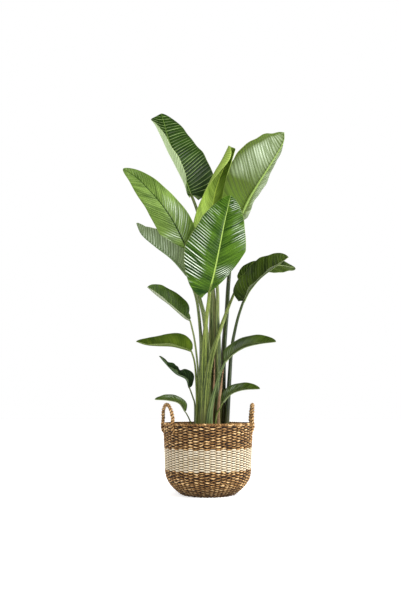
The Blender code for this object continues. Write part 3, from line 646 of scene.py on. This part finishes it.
def leaf_material(name, look, seed):
    """Waxy ribbed leaf: streaks that follow the veins, a midrib, painted highlight and shade, and a paler
    underside.
    """
    dark, light, under, vein_color, rib_color, vein_show, roughness, spread = LOOKS[look]
    n = Nodes("leaf_" + name)
    vein, across, along, mid = n.attributes("vein", "across", "along", "mid")
    below, tint, painted_light_and_shade = n.attributes("under", "tint", "painted_light_and_shade")

    def grain(vein_scale, across_scale, offset, detail=3.0):
        place = n.vector(n.times(vein, vein_scale), n.times(across, across_scale), seed + offset)
        return n.noise(place, 1.0, detail)

    broad, streak, fine = grain(0.30, 0.9, 0.0, 2.0), grain(1.7, 1.1, 7.0), grain(8.0, 1.6, 3.0)
    tone = n.plus(n.times(broad, 0.8), n.times(streak, 0.7), n.times(fine, 0.3), n.times(tint, 0.22))
    upper = n.mix(n.remap(tone, 0.72, 1.28), dark, light)
    # Side veins are thin pale ridges with a line of painted shade in the groove beside them.
    margin = n.math("ABSOLUTE", across)
    after_vein = n.math("FRACT", vein)
    ridge = n.remap(n.math("PINGPONG", vein, 0.5), 0.02, 0.12, 1.0, 0.0)
    ridge = n.times(ridge, n.remap(streak, 0.35, 0.62, 0.25, 1.0))
    ridge = n.times(ridge, n.remap(margin, 0.75, 1.0, 1.0, 0.4))
    upper = n.mix(n.remap(after_vein, 0.10, 0.30, 0.45, 0.0), upper, dark)
    upper = n.mix(n.times(ridge, vein_show), upper, vein_color)
    lower = n.mix(n.remap(n.plus(streak, fine), 0.75, 1.2), scaled(under, 0.70), under)
    # Painted shade in the grooves between the underside's veins.
    groove = n.remap(after_vein, 0.08, 0.55, 0.8, 0.0)
    lower = n.mix(groove, lower, scaled(under, 0.35))
    lower = n.mix(n.times(ridge, vein_show * 0.8), lower, scaled(under, 1.5))
    color = n.mix(below, upper, lower)
    # Painted shade where a patch's strength is below zero.
    color = n.mix(n.remap(painted_light_and_shade, -1.0, -0.05, 0.75, 0.0), color, n.mix(0.65, color, dark))
    # Painted highlight: sharp light bands between the veins, spread into an even painted sheen.
    beat = n.math("FRACT", n.plus(vein, 0.62))
    band = n.times(n.remap(beat, 0.10, 0.18), n.remap(beat, 0.40, 0.52, 1.0, 0.0))
    band = n.times(band, n.remap(grain(0.9, 1.2, 11.0, 1.0), 0.36, 0.52))
    painted_sheen = n.remap(streak, 0.35, 0.62, 0.25 * spread, spread)
    band = n.plus(n.times(band, 1.0 - spread), painted_sheen)
    # Painted shade under the highlight patches, the painted highlight on top, then painted shade again in
    # the grooves.
    color = n.mix(n.remap(painted_light_and_shade, 0.0, 1.0, 0.0, 0.75 * (1.0 - spread)), color, dark)
    color = n.mix(n.times(n.times(band, painted_light_and_shade), 0.95, clamp=True), color, PAINTED_HIGHLIGHT)
    color = n.mix(n.times(groove, spread, clamp=True), color, scaled(under, 0.5))
    rib_half = n.remap(along, 0.0, 1.0, 0.0042, 0.0010, smooth=False)
    rib = n.remap(n.math("DIVIDE", mid, rib_half), 0.6, 1.1, 1.0, 0.0)
    color = n.mix(n.times(rib, 0.9), color, rib_color)
    color = n.mix(n.times(n.remap(margin, 0.97, 1.0), 0.35), color, LEAF_EDGE)
    fine_line = n.math("SINE", n.times(vein, TURN * 6))
    height = n.plus(n.times(fine_line, 0.4), fine)
    rough = n.plus(n.remap(streak, 0.3, 0.7, roughness - 0.05, roughness + 0.08), n.times(below, 0.14))
    return n.finish(color, rough, n.bump(height, 0.0004, 0.2), 0.08)


# ---- stems
def make_stem(name, leaf):
    """A petiole: a broad clasping foot, then a round stalk with a channel, run on under its blade."""
    foot, *rest = leaf["stem"]
    curve, reach = smooth_curve([(*foot, SOIL_Z - 0.004), *rest, leaf["rib"][0]])
    keep = reach < reach[-1] - 0.003
    rib_curve, rib_reach = smooth_curve(leaf["rib"])
    start_r, end_r = leaf["radii"]
    under_blade = np.linspace(0.01, 0.10, 6) * rib_reach[-1]
    _, _, up = blade_frames(rib_curve, rib_reach, leaf, under_blade)
    run_on = at(rib_curve, rib_reach, under_blade) - up * (end_r * 0.75)
    control = np.vstack([curve[keep][::40], curve[keep][-1:], run_on])
    line, line_reach = smooth_curve(control, 600)
    total = line_reach[-1]
    samples = int(total / STEM_STEP)
    along = np.linspace(0, total, samples)
    centres = at(line, line_reach, along)
    tangent = tangents(centres)
    inward = np.array([*(CLUSTER - np.array(foot)), 0.0]) + np.array([0, 0.02, 0])
    front = square_to(inward, tangent)
    side = np.cross(front, tangent)
    stalk = reach[-1]
    t = np.clip(along / stalk, 0, 1)
    radius = start_r + (end_r - start_r) * t
    radius = radius * np.clip(1 - (along - stalk) / (total - stalk + 1e-6), 0.15, 1) ** 0.7
    big = start_r > BIG_STEM
    clasp = np.clip(1 - t / (0.80 if big else 0.5), 0, 1) ** 0.8
    radius = radius * (1.2 if big else 1.1)
    wide = radius * (1 + (0.95 if big else 0.2) * clasp)
    sides = STEM_SIDES
    turn = ring_angles(sides)
    flute = 1 + 0.018 * np.sin(9 * turn)
    groove = np.exp(-((np.cos(turn) / 0.42) ** 2)) * np.clip(np.sin(turn), 0, 1)
    x = np.cos(turn) * wide[:, None] * flute
    y = (np.sin(turn) * radius[:, None] - groove * (radius * (0.35 + 0.35 * clasp))[:, None]) * flute
    points = centres[:, None] + side[:, None] * x[..., None] + front[:, None] * y[..., None]
    faces = grid_faces(samples, sides, wrap=True) + cap_faces(samples, sides)
    lip = np.exp(-(((np.abs(np.cos(turn)) - 0.62) / 0.13) ** 2)) * (np.sin(turn) > 0)
    values = {"along": np.repeat(along, sides), "around": np.tile(turn / TURN, samples),
              "lip": (lip[None, :] * clasp[:, None] ** 1.6).ravel(), "share": np.repeat(t, sides)}
    piece = make_piece("petiole_" + name, points.reshape(-1, 3), faces, values)
    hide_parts("stem_" + name)
    return piece


def stem_material(name, look, seed):
    """Smooth green stalk with long streaks and dry tan edges on its clasping foot."""
    dark, light = STEM_LOOKS[look]
    n = Nodes("stem_" + name)
    turn = n.times(n.attribute("around"), TURN)
    x, y = n.math("COSINE", turn), n.math("SINE", turn)
    along, lip, share = n.attributes("along", "lip", "share")
    long_streak = n.noise(n.vector(x, y, n.times(along, 1.6)), 3.2 + seed * 0.05, 4.0, 0.6)
    fine = n.noise(n.vector(x, y, n.times(along, 4.0)), 14.0, 3.0, 0.6)
    tone = n.plus(n.times(long_streak, 1.2), n.times(fine, 0.5))
    color = n.mix(n.remap(tone, 0.73, 0.99), dark, light)
    pale_foot = tuple(0.5 * (a + b) for a, b in zip(light, TAN))
    color = n.mix(n.remap(share, 0.0, 0.22, 0.35, 0.0), color, pale_foot)
    dry = n.times(lip, n.remap(fine, 0.35, 0.6, 0.3, 1.0))
    color = n.mix(dry, color, TAN)
    speck = n.remap(n.noise(n.place(), 60.0, 2.0), 0.68, 0.76)
    color = n.mix(n.times(speck, 0.5), color, (0.16, 0.10, 0.04))
    return n.finish(color, n.remap(fine, 0.3, 0.7, 0.34, 0.52), n.bump(tone, 0.0008, 0.5), 0.18)


# ---- dry sheaths
def make_sheath(name, sheath, seed):
    """A narrow papery husk, rolled across, with a ragged pointed tip."""
    curve, reach = smooth_curve(sheath["rib"])
    rows, columns = 90, 15
    t = np.linspace(0, 1, rows)
    random = np.random.default_rng(seed)
    centres = at(curve, reach, t * reach[-1])
    tangent = tangents(centres)
    front = square_to(np.array([0.1, -1.0, 0.1]), tangent)
    side = np.cross(tangent, front)
    phase = random.random(3) * 6
    width = sheath["half_width"] * (1 - t ** 3.0) * (1 + 0.10 * np.sin(23 * t + phase[0])) + 0.0006
    roll = np.radians(75) + 0.3 * np.sin(5 * t + phase[1])
    angle = np.linspace(-1, 1, columns)[None, :] * roll[:, None]
    curl_r = (width / np.sin(np.minimum(roll, 1.5)))[:, None]
    crinkle = 0.0005 * np.sin(40 * t[:, None] + 9 * angle + phase[2])
    points = (centres[:, None] + side[:, None] * (np.sin(angle) * curl_r)[..., None]
              + front[:, None] * ((np.cos(angle) - 1) * curl_r * 0.5 + crinkle)[..., None])
    half = normals(points) * SHEATH_HALF
    both = np.vstack([(points + half).reshape(-1, 3), (points - half).reshape(-1, 3)])
    values = {"along": np.tile(np.repeat(t * reach[-1], columns), 2),
              "across": np.tile(np.tile(np.linspace(-1, 1, columns), rows), 2)}
    piece = make_piece("husk_" + name, both, skin_faces(rows, columns), values)
    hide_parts(name)
    return piece


def sheath_material():
    """Dry, papery brown husk with long fibres."""
    n = Nodes("dry_husk")
    fibre = n.noise(n.vector(n.times(n.attribute("across"), 6.0),
                             n.times(n.attribute("along"), 9.0)), 1.6, 4.0, 0.65)
    color = n.mix(n.remap(fibre, 0.35, 0.65), (0.13, 0.070, 0.030), (0.36, 0.235, 0.125))
    return n.finish(color, n.remap(fibre, 0.3, 0.7, 0.6, 0.85), n.bump(fibre, 0.0008, 0.7), 0.3)


# ---- basket
def outer_radius(z):
    """Outer radius of the basket's wall at a height."""
    low = BASE_R + (FOOT_R - BASE_R) * (1 - np.clip(1 - z / FOOT_H, 0, 1) ** 2)
    return np.where(z < FOOT_H, low, FOOT_R + (BASKET_R - FOOT_R) * (z - FOOT_H) / (BASKET_H - FOOT_H))


def wall_path(count=300):
    """The wall's middle line from the centre of the base to the rim, as radius, height and length."""
    wall_z = BASKET_H * np.linspace(0, 1, count) ** 1.6
    z = np.concatenate([np.zeros(60), wall_z])
    r = np.concatenate([np.linspace(0, float(outer_radius(0.0)), 60), outer_radius(wall_z)])
    path = np.stack([r, z], -1)
    tangent = tangents(path)
    tangent = unit(np.stack([np.convolve(np.pad(tangent[:, i], 6, mode="edge"), np.ones(13) / 13, "valid")
                             for i in range(2)], -1))
    inward = np.stack([-tangent[:, 1], tangent[:, 0]], -1)
    middle = path + inward * (WALL / 2)
    middle[:, 0] = np.maximum(middle[:, 0], 0.0)
    return middle, -inward, lengths(middle)


PATH, PATH_OUT, PATH_REACH = wall_path()


def reach_at_height(z):
    """Distance along the wall's middle line where it passes a height."""
    return PATH_REACH[np.argmax(PATH[:, 1] >= z)]


def wall_at(reach, radial):
    """Points on the wall's middle line and its outward directions, at distances along it."""
    r, z, out_r, out_z = (np.interp(reach, PATH_REACH, row)[:, None] for row in (*PATH.T, *PATH_OUT.T))
    return radial * r + UP * z, unit(radial * out_r + UP * out_z)


def weave(name, low, high, pitch, cord, uneven, seed):
    """One long cord wound up the wall from distance low to high, in front of and behind the stakes."""
    turns = (high - low) / pitch
    theta = np.linspace(0, turns * TURN, int(turns * STAKES * CORD_SAMPLES))
    knots = np.arange(0, theta[-1] + 0.2, 0.05)
    random = np.random.default_rng(seed)
    reach = low + pitch * (theta / TURN + uneven * random_line(random, theta, knots))
    fat = 1 + 0.8 * uneven * random_line(random, theta, knots)
    beat = theta * STAKES / 2
    stitch = np.floor(beat / np.pi + 0.5).astype(int)
    tints = random.normal(0, 1, stitch[-1] + 2)
    shade = 0.75 * tints[stitch] + 0.45 * random_line(random, theta, knots[::9])
    proud = np.clip(1.25 * np.cos(beat), -1, 1)
    centres, out = wall_at(reach, radials(theta))
    centres = centres + out * (WEAVE_SWING * proud)[:, None]
    up = np.cross(out, radials(theta + np.pi / 2))
    bulge = 0.86 + 0.24 * np.abs(np.cos(beat))
    values = {"open": openness(proud[:, None]), "shade": shade}
    return tubes_piece(name, [(centres, out, up, cord[0] * fat, cord[1] * bulge * fat, values)])


def make_stakes():
    """Upright stakes from the base to the rim, which the cords pass in front of and behind."""
    reach = np.linspace(PATH_REACH[-1] * 0.14, PATH_REACH[-1] - 0.002, 60)
    # A low open value and the darkest tone give the stakes painted shade, as they lie behind the cords.
    values = {"along": reach, "open": np.full(len(reach), 0.12), "shade": np.full(len(reach), -1.0)}
    tubes = []
    for theta in TURN * np.arange(STAKES) / STAKES:
        centres, out = wall_at(reach, radials(theta))
        half_width = STAKE_COVER * np.pi * np.hypot(centres[:, 0], centres[:, 1]) / STAKES
        side = np.broadcast_to(radials(theta + np.pi / 2), out.shape)
        tubes.append((centres, out, side, STAKE_HALF, half_width, values))
    return tubes_piece("basket_stakes", tubes)


def rope_piece(name, centres, out, up, seed):
    """Rope: strands twisted about a centreline, joined in one piece."""
    reach = lengths(centres)
    random = np.random.default_rng(seed)
    tubes = []
    for k in range(ROPE_STRANDS):
        phase = TURN * (reach / ROPE_PITCH + k / ROPE_STRANDS)[:, None]
        line = centres + (out * np.cos(phase) + up * np.sin(phase)) * ROPE_LAY_R
        a = square_to(out, tangents(line))
        fat = 1 + 0.10 * random_line(random, reach, np.linspace(0, reach[-1], 40))
        radius = ROPE_STRAND_R * fat
        # Strand sides that turn into the rope's grooves get painted shade through the open value.
        facing = np.cos(phase - ring_angles(ROPE_SIDES))
        values = {"along": reach, "open": 0.15 + 0.85 * np.clip(facing, 0, 1),
                  "shade": random_line(random, reach, np.linspace(0, reach[-1], 50))}
        tubes.append((line, a, np.cross(tangents(line), a), radius, radius, values))
    return tubes_piece(name, tubes, ROPE_SIDES)


def make_rim():
    """A three-strand braid laid round the top of the wall."""
    theta = np.linspace(0, TURN, STAKES * 14)
    radial = radials(theta)
    up = np.broadcast_to(UP, radial.shape)
    middle_r, middle_z = BASKET_R - WALL / 2, (RIM_LOW_Z + BASKET_H) / 2
    # Outward sides of the braid lighter, inward sides darker: painted light and shade.
    opened = 0.68 + 0.16 * np.cos(ring_angles(CORD_SIDES))[None]
    random = np.random.default_rng(41)
    tubes = []
    for k in range(3):
        phase = STAKES * theta / 1.5 + TURN * k / 3
        r = middle_r + 0.6 * BRAID_SWING * np.sin(2 * phase)
        z = middle_z + BRAID_SWING * np.cos(phase)
        values = {"along": theta * middle_r, "open": opened,
                  "shade": random_line(random, theta, np.linspace(0, TURN, 2 * STAKES), 1.6)}
        tubes.append((radial * r[:, None] + UP * z[:, None], radial, up, *BRAID_CORD, values))
    return tubes_piece("rim_braid", tubes)


def make_handle(name, angle, seed):
    """A twisted rope arch whose ends run down outside the wall and are stitched in."""
    outward, side = radials(angle), radials(angle + math.pi / 2)
    foot_r = math.sqrt((BASKET_R - WALL / 2) ** 2 - HANDLE_HALF_SPAN ** 2)
    arch = []
    for turn in np.linspace(0, math.pi, 25)[1:-1]:
        height = HANDLE_RISE * math.sin(turn) ** 0.75
        arch.append(outward * (foot_r + 0.004 + height * math.sin(HANDLE_LEAN))
                    + side * (HANDLE_HALF_SPAN * math.cos(turn)) + UP * (BASKET_H + height))
    start, end = [], []
    for depth, proud in ((0.040, -0.001), (0.030, 0.002), (0.018, 0.004), (0.006, 0.004)):
        z = BASKET_H - depth
        reach = math.sqrt((float(outer_radius(z)) + proud) ** 2 - HANDLE_HALF_SPAN ** 2)
        start.append(outward * reach + side * HANDLE_HALF_SPAN + UP * z)
        end.insert(0, outward * reach - side * HANDLE_HALF_SPAN + UP * z)
    line, reach = smooth_curve(start + arch + end, 900)
    centres = at(line, reach, np.linspace(0, reach[-1], 260))
    a = square_to(outward, tangents(centres))
    piece = rope_piece("rope_" + name, centres, a, np.cross(tangents(centres), a), seed)
    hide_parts(name)
    return piece


def cord_material(name, dark, middle, light, gap_shade, twist, contrast=1.0):
    """Twisted grass cord: fibres that wind round it, each stitch its own tone, a painted highlight on proud
    stitches and painted shade in the gaps.
    """
    n = Nodes(name)
    along, around, opened, shade = n.attributes("along", "around", "open", "shade")
    wound = n.plus(n.times(along, twist), around)
    ply = n.math("SINE", n.times(wound, 2 * TURN))
    fibre = n.noise(n.vector(n.times(wound, 7.0), n.times(along, 40.0)), 1.0, 4.0, 0.65)
    patch = n.noise(n.place(), 70.0, 3.0, 0.6)
    broad = n.noise(n.place(), 8.0, 2.0)
    # The open term makes proud stitches lighter: a painted highlight along each stitch.
    tone = n.plus(n.times(fibre, 0.5), n.times(patch, 0.5), n.times(shade, 0.10 * contrast),
                  n.times(broad, 0.25), n.times(n.remap(opened, 0.70, 1.0), 0.22))
    color = n.mix(n.remap(tone, 0.42, 0.72), dark, middle)
    color = n.mix(n.remap(tone, 0.72, 0.98), color, light)
    color = n.mix(n.remap(ply, -1.0, -0.3, 0.5 * contrast, 0.0), color, scaled(dark, 0.6))
    # Painted shade in the gaps between stitches.
    color = n.mix(n.remap(opened, 0.18, 0.72, 1.0, 0.0), color, gap_shade)
    # Painted shade at the foot of the basket, where it stands on the floor.
    color = n.mix(n.remap(n.height(), 0.0, 0.060, 0.65, 0.0), color, gap_shade)
    height = n.plus(n.times(ply, 0.6), fibre)
    return n.finish(color, 0.8, n.bump(height, 0.0012, 0.8), 0.25)


def make_basket():
    """Base, lower weave, cream band, upper weave, rim, handles and stakes."""
    grass = cord_material("seagrass_cord", *GRASS_COLORS, GRASS_GAP_SHADE, 95)
    cream = cord_material("cream_cord", *CREAM_COLORS, CREAM_GAP_SHADE, 110, 0.5)
    rope = cord_material("handle_rope", *ROPE_COLORS, GRASS_GAP_SHADE, 60)
    foot, low, high, top = (reach_at_height(z) for z in (0.004, BAND_LOW_Z, BAND_HIGH_Z, RIM_LOW_Z))
    # Each cord starts and ends part of a row inside its neighbour, so that no gap shows between them.
    lower = weave("lower_weave", foot, low, GRASS_PITCH, GRASS_CORD, GRASS_UNEVEN, 11)
    band = weave("cream_weave", low - 0.3 * CREAM_PITCH, high + 0.2 * CREAM_PITCH, CREAM_PITCH,
                 CREAM_CORD, CREAM_UNEVEN, 12)
    upper = weave("upper_weave", high - 0.5 * GRASS_PITCH, top, GRASS_PITCH, GRASS_CORD, GRASS_UNEVEN, 13)
    base, stakes, rim = make_base(foot), make_stakes(), make_rim()
    for piece in (lower, upper, base, stakes, rim):
        piece.data.materials.append(grass)
    band.data.materials.append(cream)
    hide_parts("basket_lower_weave")
    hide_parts("basket_cream_band")
    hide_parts("basket_upper_weave")
    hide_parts("basket_rim")
    for seed, (name, angle) in enumerate(HANDLE_ANGLES.items()):
        make_handle(name, angle, 31 + seed).data.materials.append(rope)


def make_base(foot):
    """The basket's floor: one cord coiled flat from the centre to the foot."""
    turns = (foot + 0.002) / COIL_PITCH
    theta = np.linspace(0, turns * TURN, int(turns * 90))
    radial = radials(theta)
    r = 0.002 + COIL_PITCH * theta / TURN
    # Sides that meet the neighbouring turns get painted shade through the open value.
    values = {"open": openness(np.ones((len(theta), 1))), "shade": np.zeros(len(theta))}
    tube = (radial * r[:, None] + UP * 0.0036, radial, np.broadcast_to(UP, radial.shape),
            COIL_CORD, COIL_CORD, values)
    return tubes_piece("basket_base_coil", [tube])


# ---- pot and soil
def pot_radius(z):
    """Outer radius of the pot's wall at a height."""
    return POT_BASE_R + (POT_TOP_R - POT_BASE_R) * (z - POT_BASE_Z) / (POT_TOP_Z - POT_BASE_Z)


def make_pot():
    """Thin plastic pot with a rolled rim and soft edges."""
    floor, top, lip_low = POT_BASE_Z + POT_WALL, POT_TOP_Z, POT_TOP_Z - POT_LIP_H
    inner, lip = POT_TOP_R - POT_WALL, POT_TOP_R + POT_LIP
    profile = [(0.0001, floor), (POT_BASE_R - POT_WALL, floor), (inner, top - POT_SOFT),
               (inner + POT_SOFT, top), (lip - POT_SOFT, top), (lip, top - POT_SOFT),
               (lip, lip_low + POT_SOFT), (lip - POT_SOFT, lip_low), (pot_radius(lip_low), lip_low),
               (POT_BASE_R, POT_BASE_Z), (0.0001, POT_BASE_Z)]
    piece = lathe_piece("plastic_pot", profile)
    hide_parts("nursery_pot")
    n = Nodes("pot_plastic")
    grain = n.noise(n.place(), 900.0, 2.0)
    scuff = n.noise(n.place(), 40.0, 4.0)
    color = n.mix(n.remap(scuff, 0.5, 0.75), (0.012, 0.012, 0.012), (0.045, 0.042, 0.038))
    rough = n.remap(scuff, 0.3, 0.7, 0.38, 0.6)
    piece.data.materials.append(n.finish(color, rough, n.bump(grain, 0.0002, 0.4)))


def heap_at(x, y):
    """Rise of the soil round the stems."""
    return SOIL_HEAP * np.exp(-((x - CLUSTER[0]) ** 2 + (y - CLUSTER[1]) ** 2) / SOIL_HEAP_R ** 2)


def make_soil():
    """Crumbly soil, heaped a little round the stems, with loose crumbs on it."""
    inside = POT_WALL + 0.0008
    edge = pot_radius(SOIL_Z) - inside
    rings, steps = 90, 220
    random = np.random.default_rng(5)
    r = edge * np.linspace(0.004, 1, rings)
    turn = ring_angles(steps)
    x, y = r[:, None] * np.cos(turn), r[:, None] * np.sin(turn)
    lumps = np.zeros_like(x)
    for _ in range(140):
        cx, cy = (random.random(2) * 2 - 1) * edge
        size = 0.003 + 0.012 * random.random()
        lumps += (random.random() - 0.35) * 0.0035 * np.exp(-((x - cx) ** 2 + (y - cy) ** 2) / size ** 2)
    grit = 0.0007 * random.normal(0, 1, x.shape) * np.linspace(0.2, 1, rings)[:, None]
    z = SOIL_Z - SOIL_SINK + heap_at(x, y) + np.clip(lumps, -0.003, 0.006) + grit
    z[-1] = SOIL_Z - SOIL_SINK
    low_z = POT_BASE_Z + POT_WALL + 0.0006
    skirt = radials(turn) * (pot_radius(low_z) - inside) + UP * low_z
    points = np.vstack([np.stack([x, y, z], -1).reshape(-1, 3), skirt])
    faces = grid_faces(rings + 1, steps, wrap=True) + cap_faces(rings + 1, steps)
    soil = make_piece("soil_surface", points, faces)
    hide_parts("potting_soil")
    crumbs = make_crumbs(edge, random)
    n = Nodes("potting_soil")
    fine = n.noise(n.place(), 320.0, 5.0, 0.7)
    broad = n.noise(n.place(), 40.0, 3.0)
    color = n.mix(n.remap(fine, 0.4, 0.65), (0.010, 0.006, 0.004), (0.060, 0.036, 0.020))
    color = n.mix(n.remap(broad, 0.45, 0.7, 0.0, 0.5), color, (0.085, 0.055, 0.032))
    fleck = n.remap(n.noise(n.place(), 210.0, 1.0), 0.71, 0.74)
    color = n.mix(fleck, color, (0.55, 0.52, 0.46))
    material = n.finish(color, 0.95, n.bump(fine, 0.0025, 1.0), 0.15)
    soil.data.materials.append(material)
    crumbs.data.materials.append(material)


def make_crumbs(edge, random):
    """Loose crumbs and bark chips scattered on the soil, joined in one piece."""
    corners = np.array([(1, 0, 0), (-1, 0, 0), (0, 1, 0), (0, -1, 0), (0, 0, 1), (0, 0, -1)], float)
    shell = [(0, 2, 4), (2, 1, 4), (1, 3, 4), (3, 0, 4), (2, 0, 5), (1, 2, 5), (3, 1, 5), (0, 3, 5)]
    points, faces = [], []
    for _ in range(650):
        radius, angle = edge * 0.96 * math.sqrt(random.random()), random.random() * TURN
        size = 0.0012 + 0.0032 * random.random() ** 2
        stretch = size * (0.5 + random.random(3))
        spin = random.random() * math.pi
        c, s = math.cos(spin), math.sin(spin)
        body = corners * stretch * (0.8 + 0.4 * random.random((6, 1)))
        body = body @ np.array([(c, s, 0), (-s, c, 0), (0, 0, 1)])
        centre = radius * radials(angle)
        centre[2] = SOIL_Z - 0.0022 + heap_at(*centre[:2]) + size * 0.2
        faces += [tuple(len(points) * 6 + k for k in face) for face in shell]
        points.append(body + centre)
    crumbs = make_piece("soil_crumbs", np.vstack(points), faces, smooth=False)
    return crumbs


# ---- stage
def make_stage():
    """A pale floor, soft light from the front right and a low fill, and the camera."""
    mesh = bpy.data.meshes.new("floor")
    corners = [(x * FLOOR_HALF, y * FLOOR_HALF, 0) for x, y in ((-1, -1), (1, -1), (1, 1), (-1, 1))]
    mesh.from_pydata(corners, [], [(0, 1, 2, 3)])
    floor = bpy.data.objects.new("floor", mesh)
    bpy.context.scene.collection.objects.link(floor)
    n = Nodes("floor")
    n.shader.inputs["Emission Color"].default_value = (1.0, 1.0, 1.0, 1.0)
    n.shader.inputs["Emission Strength"].default_value = 0.5
    mesh.materials.append(n.finish((0.90, 0.90, 0.90), 0.9, None, 0.1))
    make_world()
    for light in LIGHTS:
        area_light(*light)
    camera = bpy.data.cameras.new("camera")
    camera.sensor_width = 36.0
    camera.lens = CAMERA_LENS
    holder = bpy.data.objects.new("camera", camera)
    holder.location = CAMERA_PLACE
    holder.rotation_euler = (math.radians(CAMERA_TILT), 0.0, 0.0)
    bpy.context.scene.collection.objects.link(holder)
    bpy.context.scene.camera = holder
    bpy.context.scene.view_settings.view_transform = "Standard"


def make_world():
    """White from the floor up to 40 degrees, dim overhead, so that glossy leaves keep their depth."""
    world = bpy.data.worlds.new("studio")
    bpy.context.scene.world = world
    world.use_nodes = True
    tree = world.node_tree
    place = tree.nodes.new("ShaderNodeTexCoord")
    split = tree.nodes.new("ShaderNodeSeparateXYZ")
    ramp = tree.nodes.new("ShaderNodeMapRange")
    ramp.interpolation_type = "SMOOTHSTEP"
    for socket, value in zip(list(ramp.inputs)[1:5], (0.68, 0.86, 1.0, 0.25)):
        socket.default_value = value
    tree.links.new(place.outputs["Generated"], split.inputs[0])
    tree.links.new(split.outputs["Z"], ramp.inputs[0])
    background = tree.nodes["Background"]
    background.inputs["Color"].default_value = (1.0, 1.0, 1.0, 1.0)
    tree.links.new(ramp.outputs[0], background.inputs["Strength"])


def area_light(name, place, target, size, power):
    """A square soft light at a place, aimed at a target."""
    lamp = bpy.data.lights.new(name, "AREA")
    lamp.size = size
    lamp.energy = power
    holder = bpy.data.objects.new(name, lamp)
    holder.location = place
    aim = np.array(place) - np.array(target)
    flat = math.hypot(aim[0], aim[1])
    holder.rotation_euler = (math.atan2(flat, aim[2]), 0.0, math.atan2(aim[1], aim[0]) + math.pi / 2)
    bpy.context.scene.collection.objects.link(holder)


# ---- the model
def make_plant():
    """Blades, petioles and dry sheaths."""
    for seed, (name, leaf) in enumerate(LEAVES.items()):
        blade = make_blade(name, leaf, 100 + seed)
        stem_look, look, *_ = LEAF_LOOKS[name]
        blade.data.materials.append(leaf_material(name, look, seed))
        stem = make_stem(name, leaf)
        stem.data.materials.append(stem_material(name, stem_look, seed))
    husk = sheath_material()
    for seed, (name, sheath) in enumerate(SHEATHS.items()):
        piece = make_sheath(name, sheath, 50 + seed)
        piece.data.materials.append(husk)


make_plant()
make_basket()
make_pot()
make_soil()
make_stage()
